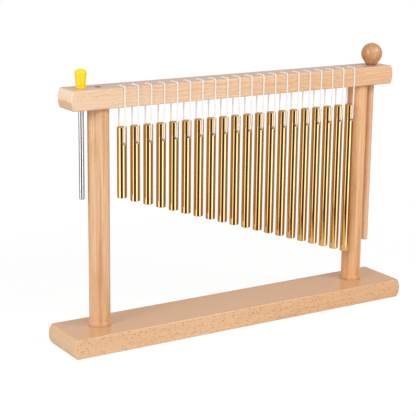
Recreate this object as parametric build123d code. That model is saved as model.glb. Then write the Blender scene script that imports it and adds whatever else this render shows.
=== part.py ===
from build123d import *
from math import acos, atan2, cos, hypot, pi, sin
import os

# Bar chimes: tuned rods hang on cord loops under a wooden bar, which two posts hold over a base.
# A steel beater and a wooden mallet stand in holes at the two ends of the bar.
# Millimetres. +Z is up, +X runs along the bar towards the long rods, -Y faces the player.
# The origin is the middle of the base's underside.

# Base board
base_length = 415.0
base_width = 60.0
base_thickness = 20.7
base_end_bulge = 3.5
base_edge_radius = 1.0

# Bar and posts
frame_height = 265.0
frame_setback = 3.9
bar_length = 396.4
bar_depth = 31.3
bar_thickness = 20.0
bar_end_bulge = 2.4
bar_edge_radius = 1.2
post_diameter = 21.8
post_spacing = 323.4
post_end_chamfer = 0.8
foot_ring_width = 0.8
foot_ring_height = 4.0
foot_ring_rounding = 0.6
hole_mouth_chamfer = 0.5

# Wood screws, one through the bar and one through the base into each post
screw_head_diameter = 6.2
screw_head_height = 2.4
screw_head_rounding = 0.8
screw_shank_diameter = 3.4
screw_tip_length = 4.0
screw_tip_diameter = 0.4
screw_bite = 26.0
screw_recess_width = 0.9
screw_recess_span = 3.6
screw_recess_depth = 1.4
screw_well_depth = 8.0
screw_well_clearance = 0.3
screw_clearance = 0.05
screw_end_room = 1.0

# Tuned rods
chime_count = 20
chime_pitch = 14.95
chime_row_middle = 1.3
chime_setback = 5.7
chime_diameter = 9.9
chime_end_chamfer = 0.5
shortest_chime = 72.0
chime_step = 5.0
chime_drop = 19.8
chime_hole_diameter = 3.2
chime_hole_depth = 16.0
chime_hole_countersink = 0.9

# Cord: one loop for each rod, up through the bar and over its front edge
cord_diameter = 1.4
cord_gap = 0.1
cord_hole_clearance = 0.5
cord_fold_radius = 1.4
cord_lean_radius = 6.0
cord_straight_end = 1.5
strand_gap = 0.3
hole_top_gap = 0.2

# Steel beater with a moulded tip
beater_from_post = 18.65
beater_diameter = 5.4
beater_hole_clearance = 0.3
beater_length = 129.8
beater_end_chamfer = 0.6
tip_foot_diameter = 9.4
tip_head_diameter = 11.8
tip_taper_height = 16.0
tip_crown_height = 2.8
tip_edge_rounding = 0.6
tip_socket_depth = 11.0
tip_socket_clearance = 0.05

# Wooden mallet
mallet_from_post = 17.9
ball_diameter = 23.2
ball_rise = 12.8
ball_foot_diameter = 10.8
ball_foot_rounding = 0.4
stick_diameter = 8.0
stick_hole_clearance = 0.3
mallet_length = 225.4
stick_end_rounding = 1.2
ball_socket_depth = 16.0
ball_socket_clearance = 0.05

# Heights and places worked out from the sizes above
bar_bottom = frame_height - bar_thickness
post_height = bar_bottom - base_thickness
post_places = [-post_spacing / 2, post_spacing / 2]
beater_x = post_places[0] - beater_from_post
mallet_x = post_places[1] + mallet_from_post

cord_radius = cord_diameter / 2
chime_radius = chime_diameter / 2
bar_front = frame_setback - bar_depth / 2
strand_offset = chime_radius + strand_gap + cord_radius
chime_y = bar_front + chime_setback
wrap_front_y = bar_front - cord_gap - cord_radius
front_strand_y = chime_y - strand_offset
back_strand_y = chime_y + strand_offset
chime_top = bar_bottom - chime_drop
chime_hole_z = chime_top - chime_hole_depth
cord_in_hole_z = chime_hole_z + chime_hole_diameter / 2 - hole_top_gap - cord_radius
cord_top_z = frame_height + cord_gap + cord_radius
cord_edge_radius = bar_edge_radius + cord_gap + cord_radius
chime_places = [chime_row_middle + (i - (chime_count - 1) / 2) * chime_pitch for i in range(chime_count)]
chime_lengths = [shortest_chime + i * chime_step for i in range(chime_count)]

ball_centre_z = frame_height + ball_rise


def upright(x, y, z, diameter, height):
    """A vertical cylinder standing on the point (x, y, z)."""
    standing = (Align.CENTER, Align.CENTER, Align.MIN)
    return Pos(x, y, z) * Cylinder(diameter / 2, height, align=standing)


def board(length, width, thickness, bulge, edge_radius):
    """A board lying on Z = 0, with eased edges and short ends that swell outwards in side view."""
    shoulder = length / 2 - bulge
    outline = Curve() + [
        Line((-shoulder, 0), (shoulder, 0)),
        ThreePointArc((shoulder, 0), (length / 2, thickness / 2), (shoulder, thickness)),
        Line((shoulder, thickness), (-shoulder, thickness)),
        ThreePointArc((-shoulder, thickness), (-length / 2, thickness / 2), (-shoulder, 0)),
    ]
    blank = extrude(Plane.XZ * make_face(outline), width / 2, both=True)
    return fillet(blank.edges(), edge_radius)


def wood_screw(grip):
    """A round-headed wood screw pointing down, with its head's seat at the origin."""
    shank_length = grip + screw_bite - screw_tip_length
    head = upright(0, 0, 0, screw_head_diameter, screw_head_height)
    head = fillet(head.edges().sort_by(Axis.Z)[-1], screw_head_rounding)
    shank = upright(0, 0, -shank_length, screw_shank_diameter, shank_length)
    tip = Pos(0, 0, -shank_length - screw_tip_length / 2) * Cone(
        screw_tip_diameter / 2, screw_shank_diameter / 2, screw_tip_length
    )
    slot_middle = Pos(0, 0, screw_head_height - screw_recess_depth / 2)
    slot = Box(screw_recess_span, screw_recess_width, screw_recess_depth)
    return head + shank + tip - slot_middle * slot - slot_middle * Rot(0, 0, 90) * slot


def screw_way(x, board_z, thickness, well_z):
    """The cuts for one screw: a clear hole through a board at board_z, and a well for the head at well_z."""
    hole = upright(x, frame_setback, board_z, screw_shank_diameter + 2 * screw_clearance, thickness)
    well_diameter = screw_head_diameter + 2 * screw_well_clearance
    well = upright(x, frame_setback, well_z, well_diameter, screw_well_depth)
    return [hole, well]


def make_base():
    """The base board, with a screw way under each post."""
    ways = [cut for x in post_places for cut in screw_way(x, 0, base_thickness, 0)]
    return board(base_length, base_width, base_thickness, base_end_bulge, base_edge_radius) - ways


def make_bar():
    """The bar, drilled for the cords, the screws, the beater and the mallet."""
    blank = board(bar_length, bar_depth, bar_thickness, bar_end_bulge, bar_edge_radius)
    cord_hole = cord_diameter + 2 * cord_hole_clearance
    holes = [upright(x, back_strand_y, bar_bottom, cord_hole, bar_thickness) for x in chime_places]
    beater_hole = beater_diameter + 2 * beater_hole_clearance
    stick_hole = stick_diameter + 2 * stick_hole_clearance
    holes.append(upright(beater_x, frame_setback, bar_bottom, beater_hole, bar_thickness))
    holes.append(upright(mallet_x, frame_setback, bar_bottom, stick_hole, bar_thickness))
    for x in post_places:
        holes += screw_way(x, bar_bottom, bar_thickness, frame_height - screw_well_depth)
    drilled = Pos(0, frame_setback, bar_bottom) * blank - holes
    mouths = drilled.edges().filter_by(GeomType.CIRCLE).group_by(Axis.Z)[-1]
    return chamfer(mouths, hole_mouth_chamfer)


def make_post(x):
    """One round post with a low ring at its foot and a pilot hole for the screw at each end."""
    post = upright(x, frame_setback, base_thickness, post_diameter, post_height)
    post = chamfer(post.edges().filter_by(GeomType.CIRCLE), post_end_chamfer)
    ring = upright(x, frame_setback, base_thickness, post_diameter + 2 * foot_ring_width, foot_ring_height)
    ring = fillet(ring.edges().filter_by(GeomType.CIRCLE), foot_ring_rounding)
    pilot = screw_shank_diameter + 2 * screw_clearance
    depth = screw_bite + screw_end_room
    lower = upright(x, frame_setback, base_thickness, pilot, depth)
    upper = upright(x, frame_setback, bar_bottom - depth, pilot, depth)
    return post + ring - lower - upper


def make_chime(length):
    """A tuned rod below the origin, with a countersunk cross hole, front to back, near its top."""
    rod = upright(0, 0, -length, chime_diameter, length)
    rod = chamfer(rod.edges().filter_by(GeomType.CIRCLE), chime_end_chamfer)
    inner = chime_radius - chime_hole_countersink
    outer = chime_radius + chime_hole_countersink
    narrow = chime_hole_diameter / 2
    wide = narrow + outer - inner
    half = [(0, -outer), (wide, -outer), (narrow, -inner), (narrow, inner), (wide, outer), (0, outer)]
    drill = revolve(make_face(Polyline(*half, close=True)), Axis.Y)
    return rod - Pos(0, 0, -chime_hole_depth) * drill


def cord_tube(name, points, radii):
    """A round cord in the YZ plane: straight runs joined by arcs of the given radii."""
    path = FilletPolyline(*[(0, y, z) for y, z in points], radius=radii)
    tube = sweep(Plane(path @ 0, z_dir=path % 0) * Circle(cord_radius), path)
    expected = pi * cord_radius ** 2 * path.length
    print(f"{name}: length {path.length:.2f}, radii {radii}, volume ratio {tube.volume / expected:.5f}")
    return tube


def make_cord_wrap():
    """The cord's fixed stretch: up the hole in the bar, over the front edge and down the front face."""
    points = [
        (back_strand_y, bar_bottom),
        (back_strand_y, cord_top_z),
        (wrap_front_y, cord_top_z),
        (wrap_front_y, bar_bottom),
    ]
    return cord_tube("cord wrap", points, [cord_fold_radius, cord_edge_radius])


def make_cord_loop():
    """The cord's hanging stretch: down in front of the rod, through its cross hole and up behind it."""
    points = [
        (wrap_front_y, bar_bottom),
        (wrap_front_y, bar_bottom - cord_straight_end),
        (front_strand_y, cord_in_hole_z),
        (back_strand_y, cord_in_hole_z),
        (back_strand_y, bar_bottom),
    ]
    return cord_tube("cord loop", points, [cord_lean_radius, cord_fold_radius, cord_fold_radius])


def make_beater_rod():
    """The steel rod of the beater, from its tip's socket down through the bar."""
    foot = frame_height + tip_taper_height + tip_crown_height - beater_length
    rod_length = frame_height + tip_socket_depth - foot
    rod = upright(beater_x, frame_setback, foot, beater_diameter, rod_length)
    return chamfer(rod.edges().filter_by(GeomType.CIRCLE), beater_end_chamfer)


def make_beater_tip():
    """The moulded tip: it widens upwards, has a low crown and sits on the bar."""
    crown_z = tip_taper_height + tip_crown_height
    edge = (tip_head_diameter / 2, tip_taper_height)
    crown_radius = (edge[0] ** 2 + tip_crown_height ** 2) / (2 * tip_crown_height)
    outline = Curve() + [
        Polyline((0, crown_z), (0, 0), (tip_foot_diameter / 2, 0), edge),
        RadiusArc(edge, (0, crown_z), -crown_radius),
    ]
    tip = revolve(Plane.XZ * make_face(outline), Axis.Z)
    tip = fillet(tip.edges().filter_by(GeomType.CIRCLE), tip_edge_rounding)
    socket = upright(0, 0, 0, beater_diameter + 2 * tip_socket_clearance, tip_socket_depth)
    return Pos(beater_x, frame_setback, frame_height) * (tip - socket)


def make_mallet_stick():
    """The mallet's stick, from its socket in the ball down through the bar."""
    foot = ball_centre_z + ball_diameter / 2 - mallet_length
    top = frame_height + ball_socket_depth
    stick = upright(mallet_x, frame_setback, foot, stick_diameter, top - foot)
    return fillet(stick.edges().filter_by(GeomType.CIRCLE), stick_end_rounding)


def make_mallet_ball():
    """The mallet's ball: a round head that tapers to a small flat foot on the bar."""
    radius = ball_diameter / 2
    foot = (ball_foot_diameter / 2, -ball_rise)
    turn = atan2(foot[1], foot[0]) + acos(radius / hypot(*foot))
    touch = (radius * cos(turn), radius * sin(turn))
    outline = Curve() + [
        Polyline((0, radius), (0, -ball_rise), foot, touch),
        ThreePointArc(touch, (radius, 0), (0, radius)),
    ]
    ball = revolve(Plane.XZ * make_face(outline), Axis.Z)
    ball = fillet(ball.edges().sort_by(Axis.Z)[0], ball_foot_rounding)
    socket = upright(0, 0, -ball_rise, stick_diameter + 2 * ball_socket_clearance, ball_socket_depth)
    return Pos(mallet_x, frame_setback, ball_centre_z) * (ball - socket)


def make_parts():
    """Every piece under its own name."""
    bar_screw = Pos(0, 0, frame_height - screw_well_depth) * wood_screw(bar_thickness - screw_well_depth)
    base_screw = Pos(0, 0, screw_well_depth) * Rot(180, 0, 0) * wood_screw(base_thickness - screw_well_depth)
    wrap = make_cord_wrap()
    loop = make_cord_loop()
    pieces = {
        "base": make_base(),
        "bar": make_bar(),
        "post_left": make_post(post_places[0]),
        "post_right": make_post(post_places[1]),
        "bar_screws": Compound([Pos(x, frame_setback, 0) * bar_screw for x in post_places]),
        "base_screws": Compound([Pos(x, frame_setback, 0) * base_screw for x in post_places]),
        "cord_wraps": Compound([Pos(x, 0, 0) * wrap for x in chime_places]),
        "beater_rod": make_beater_rod(),
        "beater_tip": make_beater_tip(),
        "mallet_stick": make_mallet_stick(),
        "mallet_ball": make_mallet_ball(),
    }
    for number, (x, length) in enumerate(zip(chime_places, chime_lengths), start=1):
        pieces[f"chime_{number:02d}"] = Pos(x, chime_y, chime_top) * make_chime(length)
        pieces[f"cord_loop_{number:02d}"] = Pos(x, 0, 0) * loop
    return pieces


os.makedirs("parts", exist_ok=True)
for node, piece in make_parts().items():
    export_step(piece, f"parts/{node}.step")
print(f"rods y {chime_y:.2f}, cord y {wrap_front_y:.2f} on the bar")
print(f"cord y {front_strand_y:.2f} and {back_strand_y:.2f} at the rods")
print(f"rods top {chime_top:.2f}, cord in hole z {cord_in_hole_z:.2f}, bar bottom {bar_bottom:.2f}")
print(f"posts x {post_places}, beater x {beater_x:.2f}, mallet x {mallet_x:.2f}, ball z {ball_centre_z:.2f}")
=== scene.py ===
"""Looks, cords, studio and camera of a set of bar chimes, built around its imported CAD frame."""

import logging
import math
from dataclasses import dataclass
from enum import Enum
from typing import Mapping, Sequence, Union

import bpy
import numpy as np
from mathutils import Matrix, Vector


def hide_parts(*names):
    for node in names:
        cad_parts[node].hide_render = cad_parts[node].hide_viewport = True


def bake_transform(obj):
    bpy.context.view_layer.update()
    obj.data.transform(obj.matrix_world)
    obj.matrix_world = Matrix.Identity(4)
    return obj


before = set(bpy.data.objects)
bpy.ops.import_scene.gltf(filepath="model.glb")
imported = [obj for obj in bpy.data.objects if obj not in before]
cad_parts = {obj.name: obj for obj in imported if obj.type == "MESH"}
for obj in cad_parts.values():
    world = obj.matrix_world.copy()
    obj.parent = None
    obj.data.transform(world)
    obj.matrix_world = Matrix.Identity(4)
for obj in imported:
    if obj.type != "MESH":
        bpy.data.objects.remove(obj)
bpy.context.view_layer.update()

log = logging.getLogger("bar_chimes")

MM = 0.001
FULL_TURN = 2 * math.pi
WHITE = (1.0, 1.0, 1.0, 1.0)

# Sockets of a node that mixes colours: factor, first and second colour; then the result.
MIX_INPUTS = (0, 6, 7)
MIX_RESULT = 2

Triple = tuple[float, float, float]
Colour = Triple
Span = tuple[float, float]
Feed = Union["Signal", float, Sequence[float]]


class Axis(Enum):
    """An axis of the part's frame, numbered as in a vector."""

    X = 0
    Y = 1
    Z = 2


class Signal:
    """A node's output that can be used in sums with other outputs and with numbers."""

    def __init__(self, tree: "Tree", socket: bpy.types.NodeSocket) -> None:
        """Keeps the socket and the tree it belongs to.

        Args:
            tree: The wrapped node tree.
            socket: The output socket.
        """
        self.tree = tree
        self.socket = socket

    def sum_with(self, operation: str, first: Feed, second: Feed) -> "Signal":
        """Returns one Math node's result.

        Args:
            operation: The Math node's operation.
            first: Left operand.
            second: Right operand.
        """
        return self.tree.add("ShaderNodeMath", {"operation": operation}, {0: first, 1: second})

    def __add__(self, other: Feed) -> "Signal":
        """Adds."""
        return self.sum_with("ADD", self, other)

    def __sub__(self, other: Feed) -> "Signal":
        """Subtracts."""
        return self.sum_with("SUBTRACT", self, other)

    def __rsub__(self, other: Feed) -> "Signal":
        """Subtracts from a number."""
        return self.sum_with("SUBTRACT", other, self)

    def __mul__(self, other: Feed) -> "Signal":
        """Multiplies."""
        return self.sum_with("MULTIPLY", self, other)

    def __truediv__(self, other: Feed) -> "Signal":
        """Divides."""
        return self.sum_with("DIVIDE", self, other)

    def __pow__(self, other: Feed) -> "Signal":
        """Raises to a power."""
        return self.sum_with("POWER", self, other)

    def __neg__(self) -> "Signal":
        """Turns the sign round."""
        return self.sum_with("MULTIPLY", self, -1.0)

    def __abs__(self) -> "Signal":
        """Drops the sign."""
        return self.sum_with("ABSOLUTE", self, 0.0)

    def sine(self) -> "Signal":
        """Returns the sine of an angle in radians."""
        return self.sum_with("SINE", self, 0.0)

    def fraction(self) -> "Signal":
        """Returns what is left after the whole number below."""
        return self.sum_with("FRACT", self, 0.0)

    def smooth(self, low: float, high: float) -> "Signal":
        """Returns a smooth step from 0 at low to 1 at high, or the other way round.

        Args:
            low: Value that gives 0.
            high: Value that gives 1.

        Returns:
            The step's output.
        """
        flip = low > high
        values = {"Value": self, "From Min": min(low, high), "From Max": max(low, high)}
        values |= {"To Min": 1.0 if flip else 0.0, "To Max": 0.0 if flip else 1.0}
        return self.tree.add("ShaderNodeMapRange", {"interpolation_type": "SMOOTHSTEP"}, values)

    def band(self, low: float, high: float, soft: float) -> "Signal":
        """Returns 1 between low and high with soft sides, and 0 elsewhere.

        Args:
            low: Lower side.
            high: Upper side.
            soft: Half width of each side's slope.
        """
        return self.smooth(low - soft, low + soft) * self.smooth(high + soft, high - soft)


class Tree:
    """A node tree with one method that adds any node."""

    def __init__(self, nodes: bpy.types.NodeTree) -> None:
        """Takes the tree over and empties it.

        Args:
            nodes: The tree of a material or world.
        """
        self.nodes = nodes
        nodes.nodes.clear()

    def add(self, kind: str, settings: Mapping[str, object], values: Mapping[Union[str, int], Feed],
            out: Union[str, int] = 0) -> Signal:
        """Adds a node, sets its settings, then its inputs.

        Args:
            kind: The node's type name.
            settings: Properties of the node.
            values: Input sockets by name or number, as numbers or signals.
            out: The output to return.

        Returns:
            The chosen output.
        """
        node = self.nodes.nodes.new(kind)
        for name, value in settings.items():
            setattr(node, name, value)
        for name, value in values.items():
            socket = node.inputs[name]
            if isinstance(value, Signal):
                self.nodes.links.new(value.socket, socket)
            else:
                socket.default_value = value
        outputs = node.outputs
        return Signal(self, outputs[out] if len(outputs) else None)

    def mix(self, factor: Feed, first: Feed, second: Feed) -> Signal:
        """Returns a colour between two colours.

        Args:
            factor: 0 for the first, 1 for the second.
            first: Colour or signal.
            second: Colour or signal.

        Returns:
            The mixed colour.
        """
        sides = [v if isinstance(v, Signal) else (*v, 1.0) for v in (first, second)]
        values = dict(zip(MIX_INPUTS, (factor, *sides)))
        return self.add("ShaderNodeMix", {"data_type": "RGBA"}, values, MIX_RESULT)

    def times(self, vector: Signal, by: Sequence[float]) -> Signal:
        """Returns a vector stretched along its axes.

        Args:
            vector: The vector.
            by: Factor of each axis.
        """
        return self.add("ShaderNodeVectorMath", {"operation": "MULTIPLY"}, {0: vector, 1: by})

    def shifted(self, vector: Signal, by: Sequence[float]) -> Signal:
        """Returns a vector moved by a fixed amount.

        Args:
            vector: The vector.
            by: Shift of each axis.
        """
        return self.add("ShaderNodeVectorMath", {"operation": "ADD"}, {0: vector, 1: by})

    def axes(self, vector: Signal) -> tuple[Signal, Signal, Signal]:
        """Splits a vector into its three numbers.

        Args:
            vector: The vector.
        """
        node = self.add("ShaderNodeSeparateXYZ", {}, {0: vector}).socket.node
        return tuple(Signal(self, o) for o in node.outputs)

    def noise(self, vector: Signal, scale: float = 1.0, detail: float = 2.0,
              rough: float = 0.5) -> Signal:
        """Returns smooth noise between 0 and 1.

        Args:
            vector: Where to read it.
            scale: Waves per unit.
            detail: Number of finer layers.
            rough: Strength of the finer layers.
        """
        values = {"Vector": vector, "Scale": scale, "Detail": detail, "Roughness": rough}
        return self.add("ShaderNodeTexNoise", {}, values, 0)

    def bump(self, height: Signal, strength: float, distance: float) -> Signal:
        """Returns a normal bent by a height.

        Args:
            height: The height, 0 to 1.
            strength: Share of the effect.
            distance: Height in metres of a step of 1.
        """
        values = {"Height": height, "Strength": strength, "Distance": distance}
        return self.add("ShaderNodeBump", {}, values)

    def finish(self, kind: str, shader: Signal) -> None:
        """Joins a shader to the tree's output.

        Args:
            kind: Type name of the output node.
            shader: The shader.
        """
        self.add(kind, {}, {"Surface": shader})


@dataclass(frozen=True)
class Finish:
    """A procedural surface, made once and shared by the pieces that carry it."""

    name: str

    def material(self) -> bpy.types.Material:
        """Gives the finish as a material, made at the first call.

        Returns:
            The material.
        """
        found = bpy.data.materials.get(self.name)
        if found is None:
            found = bpy.data.materials.new(self.name)
            found.use_nodes = True
            tree = Tree(found.node_tree)
            tree.finish("ShaderNodeOutputMaterial", self.shader(tree))
        return found

    def shader(self, tree: Tree) -> Signal:
        """Builds the shader.

        Args:
            tree: The material's tree.
        """
        raise NotImplementedError

    @staticmethod
    def place(tree: Tree) -> Signal:
        """Returns the point on the piece in millimetres."""
        point = tree.add("ShaderNodeTexCoord", {}, {}, "Object")
        return tree.times(point, (1 / MM,) * 3)

    @staticmethod
    def facing(tree: Tree, axis: Axis) -> Signal:
        """Returns how far a face looks along an axis, either way, 0 to 1."""
        normal = tree.add("ShaderNodeNewGeometry", {}, {}, "Normal")
        return abs(tree.axes(normal)[axis.value])


@dataclass(frozen=True)
class Beech(Finish):
    """Oiled beech: slow tone, fine fibres, wavy rings and short dark rays on its sides, with
    painted shade on top faces, on the lower part of the ends, in a low contact band and over screw
    holes, and painted light on the ends.

    A cell is a length along and a width across the fibres, in millimetres. A span is where a
    smooth step starts and where it ends. A share is how much one effect adds to the whole.
    """

    grain: Axis = Axis.X
    pale: Colour = (0.80, 0.52, 0.31)
    deep: Colour = (0.70, 0.39, 0.20)
    seed: float = 0.0
    seed_way: Triple = (1.0, 1.7, 2.3)
    drift: float = 0.0
    drift_reach: float = 200.0
    slow_cell: Span = (170.0, 26.0)
    slow_span: Span = (0.3, 0.72)
    slow_share: float = 0.4
    fibre_length: float = 42.0
    fibre_width: float = 0.9
    fibre_detail: float = 3.0
    fibre_rough: float = 0.6
    fibre_share: float = 1.1
    streak_cell: Span = (150.0, 2.6)
    streak_span: Span = (0.48, 0.72)
    streak_rough: float = 0.6
    streaks: float = 0.2
    wave_cell: Span = (46.0, 18.0)
    wave_height: float = 16.0
    ring_slope: Span = (0.45, 0.9)
    ring_width: float = 7.0
    ring_power: float = 3.0
    rings: float = 0.3
    # Painted shade: faces that look up are mixed towards a darker colour for the dimmer light they
    # get; the bar's greyish colour also paints the sheen of its top.
    shaded_top_span: Span = (0.7, 0.95)
    top_shade_share: float = 0.0
    top_shade_colour: Colour = (0.71, 0.385, 0.185)
    end_span: Span = (0.5, 0.8)
    # Painted light: the short ends are mixed towards a paler colour for the brighter light they
    # catch.
    end_light_colour: Colour = (1.0, 0.80, 0.62)
    end_light_share: float = 0.0
    # Painted shade: below a wavy line at this height the ends go back to the deep colour, standing
    # in for shade on their lower part.
    end_shade: float = -100.0
    end_shade_soft: Span = (1.0, 0.5)
    end_shade_wave: float = 4.0
    end_shade_share: float = 0.75
    # Painted shade: the few millimetres above this height are mixed towards a dark brown, standing
    # in for the shade where the ball sits on the bar.
    contact_shade: float = -100.0
    contact_shade_height: float = 3.5
    contact_shade_share: float = 0.75
    contact_shade_colour: Colour = (0.20, 0.065, 0.018)
    ray_colour: Colour = (0.42, 0.145, 0.035)
    ray_cell: Span = (3.4, 1.5)
    ray_span: Span = (0.34, 0.08)
    ray_spread: float = 0.2
    ray_depth: Span = (0.4, 0.6)
    rays: float = 0.7
    rays_on_top: float = 0.1
    rays_off_end: float = 0.85
    side_span: Span = (0.9, 0.4)
    crowd_cell: Span = (60.0, 22.0)
    crowd_detail: float = 1.0
    crowd_share: float = 1.3
    chance_span: Span = (0.92, 1.15)
    # Painted shade: discs over the screw holes, each a place across, a place inward and a radius,
    # are mixed towards a near-black brown.
    shaded_wells: tuple[Triple, ...] = ()
    well_soft: float = 0.5
    well_shade_colour: Colour = (0.035, 0.018, 0.01)
    roughness: float = 0.36
    roughness_spread: float = 0.16
    specular: float = 0.4
    coat: float = 0.22
    coat_roughness: float = 0.16
    pore_shares: Span = (0.7, 0.3)
    pore_strength: float = 0.25
    pore_height: float = 0.1

    def stretched(self, tree: Tree, point: Signal, cell: Span) -> Signal:
        """Measures a point in cells along and across the fibres.

        Args:
            tree: The material's tree.
            point: The point in millimetres.
            cell: Length and width of one cell.

        Returns:
            The point in cells.
        """
        length, width = cell
        by = [1 / width] * len(Axis)
        by[self.grain.value] = 1 / length
        return tree.times(point, by)

    def depth(self, tree: Tree, point: Signal, fibre: Signal, wave: Signal) -> Signal:
        """Adds up slow tone, fibres, rings and streaks.

        Args:
            tree: The material's tree.
            point: The point in millimetres, moved by the seed.
            fibre: The fine fibres.
            wave: The waves of the rings.

        Returns:
            The wood's depth, 0 for pale and 1 for deep.
        """
        axes = tree.axes(point)
        aside = axes[Axis.X.value if self.grain is Axis.Z else Axis.Z.value]
        inward = axes[Axis.Y.value] * self.ring_slope[0] + aside * self.ring_slope[1]
        turn = (inward + wave * self.wave_height) * (FULL_TURN / self.ring_width)
        ring = turn.sine() * 0.5 + 0.5
        slow = tree.noise(self.stretched(tree, point, self.slow_cell))
        streak = tree.noise(self.stretched(tree, point, self.streak_cell), rough=self.streak_rough)
        tone = slow.smooth(*self.slow_span) * self.slow_share
        tone = tone + (fibre - 0.5) * self.fibre_share + ring ** self.ring_power * self.rings
        return tone + streak.smooth(*self.streak_span) * self.streaks

    def toned(self, tree: Tree, here: Signal, wood: Signal, wave: Signal, end: Signal) -> Signal:
        """Paints shade on the top face, light on the two ends with shade on their lower part, and
        shade in a low contact band.

        Args:
            tree: The material's tree.
            here: The point in millimetres.
            wood: The colour so far.
            wave: The waves of the rings.
            end: 1 on the short ends, 0 elsewhere.

        Returns:
            The toned colour.
        """
        height = tree.axes(here)[Axis.Z.value]
        # painted shade on faces that look up
        top = self.facing(tree, Axis.Z).smooth(*self.shaded_top_span) * self.top_shade_share
        wood = tree.mix(top, wood, self.top_shade_colour)
        # painted light on the short ends
        wood = tree.mix(end * self.end_light_share, wood, self.end_light_colour)
        # painted shade on the lower part of the ends
        line = height + (wave - 0.5) * self.end_shade_wave
        above, below = self.end_shade_soft
        end_shade = line.smooth(self.end_shade + above, self.end_shade - below)
        wood = tree.mix(end * end_shade * self.end_shade_share, wood, self.deep)
        # painted contact shade low down
        contact_shade = height.smooth(self.contact_shade + self.contact_shade_height, self.contact_shade) * self.contact_shade_share
        return tree.mix(contact_shade, wood, self.contact_shade_colour)

    def marks(self, tree: Tree, point: Signal, end: Signal) -> tuple[Signal, Signal]:
        """Scatters the short rays: one in some of the cells, fewer on the top and the ends.

        Args:
            tree: The material's tree.
            point: The point in millimetres, moved by the seed.
            end: 1 on the short ends, 0 elsewhere.

        Returns:
            Where the rays are, and how dark each of them is.
        """
        values = {"Vector": self.stretched(tree, point, self.ray_cell), "Scale": 1.0,
                  "Randomness": 1.0}
        cell = tree.add("ShaderNodeTexVoronoi", {"feature": "F1"}, values, "Distance")
        chance, shade, size = tree.axes(Signal(tree, cell.socket.node.outputs["Color"]))
        crowd = tree.noise(self.stretched(tree, point, self.crowd_cell), detail=self.crowd_detail)
        spot = (cell - size * self.ray_spread).smooth(*self.ray_span)
        spot = spot * (chance + crowd * self.crowd_share).smooth(*self.chance_span)
        side = self.facing(tree, Axis.Z).smooth(*self.side_span) * (1.0 - end * self.rays_off_end)
        amount = spot * (side * (self.rays - self.rays_on_top) + self.rays_on_top)
        least, more = self.ray_depth
        return amount, amount * (shade * more + least)

    def painted_well_shade(self, tree: Tree, here: Signal, wood: Signal) -> Signal:
        """Paints shade over the mouth of each screw's well, where the recess is dark.

        Args:
            tree: The material's tree.
            here: The point in millimetres.
            wood: The colour so far.

        Returns:
            The darkened colour.
        """
        across, inward, _ = tree.axes(here)
        for x, y, radius in self.shaded_wells:
            reach = (across - x) * (across - x) + (inward - y) * (inward - y)
            mouth = reach.smooth((radius + self.well_soft) ** 2, radius ** 2)
            wood = tree.mix(mouth, wood, self.well_shade_colour)
        return wood

    def shader(self, tree: Tree) -> Signal:
        """Builds the wood's shader.

        Args:
            tree: The material's tree.

        Returns:
            The shader's output.
        """
        here = self.place(tree)
        point = tree.shifted(here, tuple(self.seed * way for way in self.seed_way))
        strands = self.stretched(tree, point, (self.fibre_length, self.fibre_width))
        fibre = tree.noise(strands, detail=self.fibre_detail, rough=self.fibre_rough)
        wave = tree.noise(self.stretched(tree, point, self.wave_cell))
        end = self.facing(tree, Axis.X).smooth(*self.end_span)
        tone = self.depth(tree, point, fibre, wave)
        tone = tone + tree.axes(here)[Axis.X.value] * (self.drift / self.drift_reach)
        wood = self.toned(tree, here, tree.mix(tone, self.pale, self.deep), wave, end)
        amount, dark = self.marks(tree, point, end)
        wood = self.painted_well_shade(tree, here, tree.mix(dark, wood, self.ray_colour))
        pores = fibre * self.pore_shares[0] - amount * self.pore_shares[1]
        rough = fibre * self.roughness_spread + (self.roughness - self.roughness_spread / 2)
        values = {
            "Base Color": wood,
            "Roughness": rough,
            "Specular IOR Level": self.specular,
            "Coat Weight": self.coat,
            "Coat Roughness": self.coat_roughness,
            "Normal": tree.bump(pores, self.pore_strength, self.pore_height * MM),
        }
        return tree.add("ShaderNodeBsdfPrincipled", {}, values)


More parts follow.
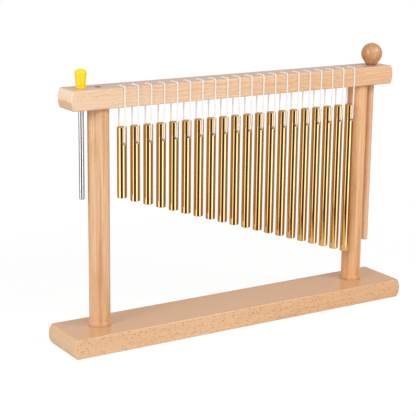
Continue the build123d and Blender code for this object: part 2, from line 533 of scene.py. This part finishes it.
@dataclass(frozen=True)
class Gilt(Finish):
    """Drawn and polished rod with a gold coloured skin and bare, turned ends."""

    skin: Colour = (0.93, 0.67, 0.32)
    deep_skin: Colour = (0.90, 0.61, 0.27)
    edge: Colour = (0.80, 0.52, 0.30)
    bare: Colour = (0.95, 0.82, 0.56)
    # Painted reflection and shade: low down the skin turns warmer and darker, standing in for the
    # warm wood the rods mirror there.
    low_reflection_colour: Colour = (0.82, 0.47, 0.18)
    low_reflection_span: Span = (165.0, 95.0)
    low_reflection_share: float = 0.75
    pitch: float = 14.95
    first_rod: float = -140.725
    hole_height: float = 209.9
    mouth: float = 2.5
    mouth_soft: Span = (0.1, 0.2)
    end_span: Span = (0.6, 0.8)
    drawn_waves: Triple = (2.2, 2.2, 0.012)
    drawn_detail: float = 3.0
    drawn_rough: float = 0.6
    drawn_share: float = 0.7
    cloud_waves: Triple = (0.08, 0.08, 0.03)
    cloud_share: float = 0.5
    pale_share: float = 0.2
    roughness: float = 0.02
    roughness_spread: float = 0.04
    end_roughness: float = 0.25

    def shader(self, tree: Tree) -> Signal:
        """Builds the rod's shader.

        Args:
            tree: The material's tree.

        Returns:
            The shader's output.
        """
        point = self.place(tree)
        drawn = tree.noise(tree.times(point, self.drawn_waves), detail=self.drawn_detail,
                           rough=self.drawn_rough)
        cloud = tree.noise(tree.times(point, self.cloud_waves))
        x, _, z = tree.axes(point)
        aside = ((x - self.first_rod) / self.pitch + 0.5).fraction() * self.pitch - self.pitch / 2
        rise = z - self.hole_height
        outside, inside = self.mouth_soft
        rim = ((self.mouth + outside) ** 2, (self.mouth - inside) ** 2)
        mouth = (aside * aside + rise * rise).smooth(*rim)
        end = self.facing(tree, Axis.Z).smooth(*self.end_span) * (1.0 - mouth) + mouth
        depth = drawn * self.drawn_share + cloud * self.cloud_share - self.pale_share
        skin = tree.mix(depth, self.skin, self.deep_skin)
        # painted reflection and shade towards the bottom
        skin = tree.mix(z.smooth(*self.low_reflection_span) * self.low_reflection_share, skin, self.low_reflection_colour)
        rough = end * self.end_roughness + self.roughness
        values = {
            "Base Color": tree.mix(end, skin, self.bare),
            "Metallic": 1.0,
            "Roughness": drawn * self.roughness_spread + rough,
            "Specular Tint": (*self.edge, 1.0),
        }
        return tree.add("ShaderNodeBsdfPrincipled", {}, values)


@dataclass(frozen=True)
class Steel(Finish):
    """Bare metal: polished for the beater's rod, dull zinc for the screws."""

    tone: Colour = (0.76, 0.745, 0.73)
    roughness: float = 0.04
    wear: float = 0.05
    drawn_waves: Triple = (3.0, 3.0, 0.02)
    drawn_detail: float = 3.0
    drawn_rough: float = 0.6
    spot_waves: Triple = (0.5, 0.5, 0.5)
    spot_span: Span = (0.45, 0.75)
    spot_level: float = 0.82

    def shader(self, tree: Tree) -> Signal:
        """Builds the metal's shader.

        Args:
            tree: The material's tree.

        Returns:
            The shader's output.
        """
        point = self.place(tree)
        drawn = tree.noise(tree.times(point, self.drawn_waves), detail=self.drawn_detail,
                           rough=self.drawn_rough)
        spot = tree.noise(tree.times(point, self.spot_waves))
        dark = tuple(self.spot_level * c for c in self.tone)
        values = {
            "Base Color": tree.mix(spot.smooth(*self.spot_span), self.tone, dark),
            "Metallic": 1.0,
            "Roughness": drawn * self.wear + self.roughness,
        }
        return tree.add("ShaderNodeBsdfPrincipled", {}, values)


@dataclass(frozen=True)
class Moulded(Finish):
    """Glossy moulded plastic with a faint orange depth and a soft skin."""

    tone: Colour = (1.0, 0.80, 0.012)
    deep: Colour = (0.98, 0.68, 0.006)
    cloud_waves: Triple = (0.16, 0.16, 0.16)
    cloud_span: Span = (0.35, 0.75)
    skin_waves: float = 2.4
    roughness: float = 0.24
    roughness_spread: float = 0.1

    def shader(self, tree: Tree) -> Signal:
        """Builds the plastic's shader.

        Args:
            tree: The material's tree.

        Returns:
            The shader's output.
        """
        point = self.place(tree)
        cloud = tree.noise(tree.times(point, self.cloud_waves))
        skin = tree.noise(point, self.skin_waves)
        values = {
            "Base Color": tree.mix(cloud.smooth(*self.cloud_span), self.tone, self.deep),
            "Roughness": skin * self.roughness_spread + self.roughness,
        }
        return tree.add("ShaderNodeBsdfPrincipled", {}, values)


@dataclass(frozen=True)
class Twine(Finish):
    """White laid cord: strands that wind round it, read from the piece's own UV."""

    tone: Colour = (0.76, 0.72, 0.69)
    groove: Colour = (0.60, 0.54, 0.49)
    strands: int = 3
    turns_per_metre: float = 420.0
    groove_span: Span = (0.55, 0.05)
    groove_share: float = 0.55
    fuzz_waves: Triple = (6.0, 2600.0, 1.0)
    fuzz_share: float = 0.12
    roughness: float = 0.85
    # Painted light: the cord glows faintly white, so it looks lit also where it is in shade.
    glow: float = 0.2
    relief: Span = (0.8, 0.2)
    relief_strength: float = 0.5
    relief_height: float = 0.18

    def shader(self, tree: Tree) -> Signal:
        """Builds the cord's shader.

        Args:
            tree: The material's tree.

        Returns:
            The shader's output.
        """
        place = tree.add("ShaderNodeUVMap", {"uv_map": "UVMap"}, {})
        around, along, _ = tree.axes(place)
        turn = around * float(self.strands) + along * self.turns_per_metre
        lay = abs((turn * math.pi).sine())
        fuzz = tree.noise(tree.times(place, self.fuzz_waves))
        depth = lay.smooth(*self.groove_span) * self.groove_share + fuzz * self.fuzz_share
        relief = lay * self.relief[0] + fuzz * self.relief[1]
        values = {
            "Base Color": tree.mix(depth, self.tone, self.groove),
            "Roughness": self.roughness,
            # the glow below is painted light
            "Emission Color": WHITE,
            "Emission Strength": self.glow,
            "Normal": tree.bump(relief, self.relief_strength, self.relief_height * MM),
        }
        return tree.add("ShaderNodeBsdfPrincipled", {}, values)


@dataclass(frozen=True)
class Sweep(Finish):
    """The white floor: it shows as the white background and keeps a soft shadow."""

    tone: Colour = (0.86, 0.85, 0.84)
    glow: float = 0.86
    level: float = 1.06

    def shader(self, tree: Tree) -> Signal:
        """Builds the floor's shader.

        Args:
            tree: The material's tree.

        Returns:
            The shader's output.
        """
        seen = tree.add("ShaderNodeLightPath", {}, {}, "Is Camera Ray")
        white = tree.add("ShaderNodeEmission", {}, {"Color": WHITE, "Strength": self.level})
        board = tree.add("ShaderNodeBsdfDiffuse", {}, {"Color": (*self.tone, 1.0)})
        return tree.add("ShaderNodeMixShader", {}, {0: seen * self.glow, 1: board, 2: white})


def dress(node: str, finish: Finish) -> None:
    """Gives a CAD node its finish through its material slots.

    Args:
        node: The node's name.
        finish: The finish.
    """
    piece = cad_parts[node]
    for slot in piece.material_slots:
        slot.material = finish.material()
    log.info("dressed %s in %s", node, finish.name)


@dataclass(frozen=True)
class Stand:
    """Base, bar, posts and the screws that hold them."""

    # The base's finish paints shade on its top face.
    base_wood: Finish = Beech(
        "beech_base", pale=(0.83, 0.53, 0.305), deep=(0.71, 0.385, 0.185), seed=3.0, drift=0.25,
        rays=0.95, rings=0.15, top_shade_share=0.8, coat=0.6, coat_roughness=0.09)
    # The bar's finish paints shade and a greyish sheen on its top, light on its ends with shade on
    # their lower part, and shade over the screw well.
    bar_wood: Finish = Beech(
        "beech_bar", pale=(0.89, 0.63, 0.43), deep=(0.79, 0.46, 0.25), seed=11.0, drift=0.45,
        rays=0.24, fibre_width=1.9, ring_width=3.6, rings=0.5, end_shade=253.5, end_light_share=0.7,
        top_shade_share=0.85, top_shade_colour=(0.69, 0.465, 0.36), shaded_wells=((-161.7, 3.9, 3.4),))
    left_wood: Finish = Beech(
        "beech_post_left", Axis.Z, pale=(0.86, 0.55, 0.33), deep=(0.66, 0.33, 0.14), seed=23.0,
        rays=0.1, streaks=0.8)
    right_wood: Finish = Beech(
        "beech_post_right", Axis.Z, pale=(0.90, 0.54, 0.29), deep=(0.68, 0.32, 0.12), seed=37.0,
        rays=0.1, streaks=0.8)
    zinc: Finish = Steel("dull_zinc", (0.30, 0.30, 0.29), 0.35, 0.2)

    def make(self) -> None:
        """Dresses every piece of the stand."""
        dress("base", self.base_wood)
        dress("bar", self.bar_wood)
        dress("post_left", self.left_wood)
        dress("post_right", self.right_wood)
        dress("bar_screws", self.zinc)
        dress("base_screws", self.zinc)


@dataclass(frozen=True)
class Rods:
    """The tuned rods."""

    count: int = 20
    gilt: Finish = Gilt("gilt_skin")

    def make(self) -> None:
        """Dresses every rod."""
        for number in range(1, self.count + 1):
            dress(f"chime_{number:02d}", self.gilt)


@dataclass(frozen=True)
class Strikers:
    """The beater and the mallet that stand in the bar."""

    polish: Finish = Steel("bright_steel")
    plastic: Finish = Moulded("yellow_moulding")
    stick_wood: Finish = Beech(
        "beech_stick", Axis.Z, pale=(0.86, 0.55, 0.34), deep=(0.72, 0.39, 0.20), seed=53.0,
        rays=0.2, rays_on_top=0.2)
    # The ball's finish paints shade at its bottom, where it sits on the bar.
    ball_wood: Finish = Beech(
        "beech_ball", Axis.Z, pale=(0.70, 0.36, 0.16), deep=(0.48, 0.20, 0.07), seed=71.0,
        rays=0.15, rays_on_top=0.15, streaks=0.6, roughness=0.42, specular=0.9, coat=0.1,
        contact_shade=265.0)

    def make(self) -> None:
        """Dresses the beater and the mallet."""
        dress("beater_rod", self.polish)
        dress("beater_tip", self.plastic)
        dress("mallet_stick", self.stick_wood)
        dress("mallet_ball", self.ball_wood)


@dataclass(frozen=True)
class Cords:
    """The white cord of each rod: a tube from the bar's hole, over its edge and through the rod.

    The route is a row of control points, each a place towards the back and a height.
    """

    count: int = 20
    pitch: float = 14.95
    row_middle: float = 1.3
    diameter: float = 1.4
    length: float = 130.2
    sides: int = 14
    spline_order: int = 3
    spline_steps: int = 10
    row_setback: float = -6.05
    blend_span: Span = (245.6, 237.0)
    twine: Finish = Twine("laid_twine")
    route: tuple[Span, ...] = (
        (-0.10, 250.0),
        (-0.10, 256.0),
        (-0.10, 262.6),
        (-0.10, 265.8),
        (-3.35, 265.8),
        (-6.35, 265.8),
        (-9.10, 265.8),
        (-12.55, 265.8),
        (-12.55, 262.4),
        (-12.55, 252.0),
        (-12.55, 245.0),
        (-12.42, 236.0),
        (-12.21, 223.0),
        (-12.05, 213.1),
        (-12.00, 209.9),
        (-8.75, 209.9),
        (-6.05, 209.9),
        (-3.35, 209.9),
        (-0.10, 209.9),
        (-0.10, 213.1),
        (-0.10, 222.0),
        (-0.10, 236.0),
        (-0.10, 246.5),
    )

    def place(self, number: int) -> float:
        """Returns the x of a rod in millimetres.

        Args:
            number: The rod's number, from 1.
        """
        return self.row_middle + (number - 1 - (self.count - 1) / 2) * self.pitch

    def centreline(self, x: float) -> np.ndarray:
        """Reads the points of a spline through the route, in metres.

        Args:
            x: The cord's plane in millimetres.

        Returns:
            An array of points, one row each.
        """
        data = bpy.data.curves.new("route", "CURVE")
        data.dimensions = "3D"
        data.resolution_u = self.spline_steps
        spline = data.splines.new("NURBS")
        spline.points.add(len(self.route) - 1)
        flat = np.array([(x * MM, y * MM, z * MM, 1.0) for y, z in self.route])
        spline.points.foreach_set("co", flat.ravel())
        spline.order_u = self.spline_order
        spline.use_endpoint_u = True
        holder = bpy.data.objects.new("route", data)
        line = bpy.data.meshes.new_from_object(holder)
        points = np.empty(len(line.vertices) * 3)
        line.vertices.foreach_get("co", points)
        bpy.data.objects.remove(holder)
        bpy.data.curves.remove(data)
        bpy.data.meshes.remove(line)
        return points.reshape(-1, 3)

    def tube(self, name: str, path: np.ndarray) -> bpy.types.Object:
        """Makes a round tube along a path.

        Each point of the grid is the path's point plus the radius times the cosine of the turn
        along the path's side and the sine of the turn along the row's x; both ends are closed.

        Args:
            name: Name of the new object.
            path: Points of the centreline in metres.

        Returns:
            The new object, linked to the scene.
        """
        rows, sides = len(path), self.sides
        run = np.gradient(path, axis=0)
        run /= np.linalg.norm(run, axis=1, keepdims=True)
        across = np.broadcast_to(np.array((1.0, 0.0, 0.0)), run.shape)
        side = np.cross(run, across)
        turn = np.linspace(0.0, FULL_TURN, sides, endpoint=False)[None, :, None]
        ring = side[:, None] * np.cos(turn) + across[:, None] * np.sin(turn)
        grid = path[:, None] + self.diameter / 2 * MM * ring
        start, step = np.meshgrid(np.arange(rows - 1) * sides, np.arange(sides), indexing="ij")
        after = (step + 1) % sides
        later = start + sides
        quads = np.stack((start + step, start + after, later + after, later + step), -1)
        ends = [list(range(sides))[::-1], list(range((rows - 1) * sides, rows * sides))]
        mesh = bpy.data.meshes.new(name)
        mesh.from_pydata(grid.reshape(-1, 3), [], quads.reshape(-1, 4).tolist() + ends)
        mesh.polygons.foreach_set("use_smooth", np.ones(len(mesh.polygons), bool))
        self.unwrap(mesh, path, quads.shape[0] * quads.shape[1])
        mesh.update()
        piece = bpy.data.objects.new(name, mesh)
        bpy.context.scene.collection.objects.link(piece)
        return piece

    def unwrap(self, mesh: bpy.types.Mesh, path: np.ndarray, walls: int) -> None:
        """Writes turns round the tube as u and metres along it as v.

        Args:
            mesh: The tube's mesh.
            path: Points of the centreline in metres.
            walls: Number of four-sided faces, which come first.
        """
        steps = np.linalg.norm(np.diff(path, axis=0), axis=1)
        travelled = np.concatenate(([0.0], np.cumsum(steps)))
        corners = np.empty(len(mesh.loops), np.int32)
        mesh.loops.foreach_get("vertex_index", corners)
        u = corners % self.sides / self.sides
        v = travelled[corners // self.sides]
        wall = u[:walls * 4].reshape(-1, 4)
        seam = np.ptp(wall, axis=1) > 0.5
        wall[seam] += wall[seam] < 0.5
        layer = mesh.uv_layers.new(name="UVMap")
        layer.data.foreach_set("uv", np.stack((u, v), -1).astype(np.float32).ravel())

    def make(self) -> None:
        """Makes and dresses every cord, and hides the CAD's own cord loops and wraps."""
        for number in range(1, self.count + 1):
            x = self.place(number)
            path = self.centreline(x)
            piece = self.tube(f"cord_{number:02d}", path)
            piece.data.materials.append(self.twine.material())
            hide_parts(f"cord_loop_{number:02d}", "cord_wraps")
            top, low = ((x * MM, self.row_setback * MM, z * MM) for z in self.blend_span)
            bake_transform(piece)
            log.info("made cord_%02d, %.1f mm long", number, self.length)


@dataclass(frozen=True)
class Studio:
    """Floor, soft studio surroundings and the camera at the photograph's angle."""

    floor_reach: Triple = (0.44, 0.34, 0.0)
    floor_setback: Triple = (0.0, 0.08, 0.0)
    floor_sides: int = 96
    right_panel: Span = (-26.0, 7.0)
    left_panel: Span = (64.0, 104.0)
    panel_soft: float = 4.0
    panel_span: Span = (0.0, 0.5)
    right_shade: Span = (-136.0, -40.0)
    shade_soft: float = 9.0
    gap_soft: float = 6.0
    left_back: Span = (100.0, 130.0)
    right_back: Span = (-24.0, -40.0)
    horizon: Span = (-0.1, 0.16)
    zenith: Span = (0.45, 0.8)
    ahead: Span = (-75.0, 135.0)
    ahead_soft: float = 30.0
    panel_tint: Colour = (0.93, 1.03, 1.10)
    shade_tint: Colour = (0.60, 0.45, 0.42)
    room_tint: Colour = (1.0, 0.985, 0.96)
    table_tint: Colour = (1.0, 0.70, 0.42)
    dark_tint: Colour = (1.0, 0.45, 0.18)
    right_level: float = 1.75
    left_level: float = 1.7
    low_back_level: float = 0.34
    back_level: float = 0.6
    top_level: float = 0.6
    dark_level: float = 0.09
    fill_front: float = 0.62
    fill_back: float = 0.42
    fill_top: float = 0.42
    right_lamp: Triple = (-40.0, 34.0, 5.0)
    front_lamp: Triple = (10.0, 42.0, 2.0)
    left_lamp: Triple = (76.0, 24.0, 4.3)
    lamp_size: float = 0.4
    lamp_distance: float = 1.2
    lamp_aim: Triple = (0.0, 0.0, 0.15)
    camera_place: Triple = (-740.413, -1119.242, 461.261)
    yaw: float = 0.562198
    pitch: float = 0.246771
    roll: float = -0.012202
    lens: float = 112.336
    sensor: float = 36.0
    sweep: Finish = Sweep("white_floor")

    def floor(self) -> None:
        """Lays an oval floor: each point is a reach times the cosine or sine of a turn."""
        turn = np.linspace(0.0, FULL_TURN, self.floor_sides, endpoint=False)
        ring = np.stack((np.cos(turn), np.sin(turn), np.zeros_like(turn)), -1)
        ring = ring * self.floor_reach + self.floor_setback
        mesh = bpy.data.meshes.new("floor")
        mesh.from_pydata(ring, [], [list(range(len(ring)))])
        mesh.materials.append(self.sweep.material())
        piece = bpy.data.objects.new("floor", mesh)
        bpy.context.scene.collection.objects.link(piece)

    def surroundings(self) -> None:
        """Makes a world that is white to the camera and a lit studio to everything else."""
        world = bpy.data.worlds.new("studio")
        bpy.context.scene.world = world
        world.use_nodes = True
        tree = Tree(world.node_tree)
        way = tree.add("ShaderNodeTexCoord", {}, {}, "Generated")
        x, y, z = tree.axes(way)
        turn = tree.add("ShaderNodeMath", {"operation": "ARCTAN2"}, {0: -x, 1: -y})
        bearing = turn * math.degrees(1.0)
        high = z.smooth(*self.horizon)
        top = z.smooth(*self.zenith)
        right = bearing.band(*self.right_panel, self.panel_soft) * self.right_level
        left = bearing.band(*self.left_panel, self.panel_soft) * self.left_level
        panels = (right + left) * (1.0 - top)
        raised = high * (self.back_level - self.low_back_level) + self.low_back_level
        back = (bearing.smooth(*self.left_back) + bearing.smooth(*self.right_back)) * raised
        mirrored = (back + self.dark_level) * (1.0 - top) + top * self.top_level
        front = bearing.band(*self.ahead, self.ahead_soft)
        around = front * (self.fill_front - self.fill_back) + self.fill_back
        fill = around * (1.0 - top) + top * self.fill_top
        glossy = tree.add("ShaderNodeLightPath", {}, {}, "Is Glossy Ray")
        level = (mirrored + panels) * glossy + fill * (1.0 - glossy)
        tint = tree.mix(glossy * (1.0 - high), self.room_tint, self.table_tint)
        shade = bearing.band(*self.right_shade, self.shade_soft) * (1.0 - top)
        tint = tree.mix(shade * glossy, tint, self.shade_tint)
        gap = bearing.band(self.right_panel[1], self.left_panel[0], self.gap_soft) * (1.0 - top)
        tint = tree.mix(gap * glossy, tint, self.dark_tint)
        tint = tree.mix(panels.smooth(*self.panel_span) * glossy, tint, self.panel_tint)
        lit = tree.add("ShaderNodeBackground", {}, {"Color": tint, "Strength": level})
        white = tree.add("ShaderNodeBackground", {}, {"Color": WHITE, "Strength": 1.0})
        seen = tree.add("ShaderNodeLightPath", {}, {}, "Is Camera Ray")
        both = tree.add("ShaderNodeMixShader", {}, {0: seen, 1: lit, 2: white})
        tree.finish("ShaderNodeOutputWorld", both)

    def lamp(self, name: str, bearing: float, rise: float, watts: float) -> None:
        """Hangs a soft lamp that looks at the middle of the row.

        Args:
            name: Name of the lamp.
            bearing: Degrees from the front towards the left.
            rise: Degrees above the horizon.
            watts: Power.
        """
        data = bpy.data.lights.new(name, "AREA")
        data.shape = "DISK"
        data.size = self.lamp_size
        data.energy = watts
        bearing, rise = math.radians(bearing), math.radians(rise)
        reach = math.cos(rise)
        way = Vector((-math.sin(bearing) * reach, -math.cos(bearing) * reach, math.sin(rise)))
        turn = (-way).to_track_quat("-Z", "Y").to_matrix().to_4x4()
        place = way * self.lamp_distance + Vector(self.lamp_aim)
        piece = bpy.data.objects.new(name, data)
        piece.matrix_world = Matrix.Translation(place) @ turn
        bpy.context.scene.collection.objects.link(piece)

    def camera(self) -> None:
        """Sets the camera at the fitted place, turn and lens."""
        data = bpy.data.cameras.new("camera")
        data.sensor_width = self.sensor
        data.sensor_fit = "HORIZONTAL"
        data.lens = self.lens
        reach = math.cos(self.pitch)
        drop = math.sin(self.pitch)
        ahead = Vector((math.sin(self.yaw) * reach, math.cos(self.yaw) * reach, -drop))
        right = ahead.cross(Vector((0.0, 0.0, 1.0))).normalized()
        down = ahead.cross(right)
        c, s = math.cos(self.roll), math.sin(self.roll)
        right, down = c * right + s * down, c * down - s * right
        turn = Matrix((right, -down, -ahead)).transposed().to_4x4()
        piece = bpy.data.objects.new("camera", data)
        piece.matrix_world = Matrix.Translation(Vector(self.camera_place) * MM) @ turn
        bpy.context.scene.collection.objects.link(piece)
        bpy.context.scene.camera = piece

    def make(self) -> None:
        """Makes the camera, the floor and the light."""
        self.camera()
        self.floor()
        self.surroundings()
        self.lamp("right_lamp", *self.right_lamp)
        self.lamp("front_lamp", *self.front_lamp)
        self.lamp("left_lamp", *self.left_lamp)
        bpy.context.scene.view_settings.view_transform = "Standard"


def main() -> None:
    """Builds the studio, the cords and the looks of every piece."""
    logging.basicConfig(level=logging.INFO, format="%(message)s")
    for part in (Studio(), Cords(), Stand(), Rods(), Strikers()):
        log.info("building %s", type(part).__name__)
        part.make()


if __name__ == "__main__":
    main()
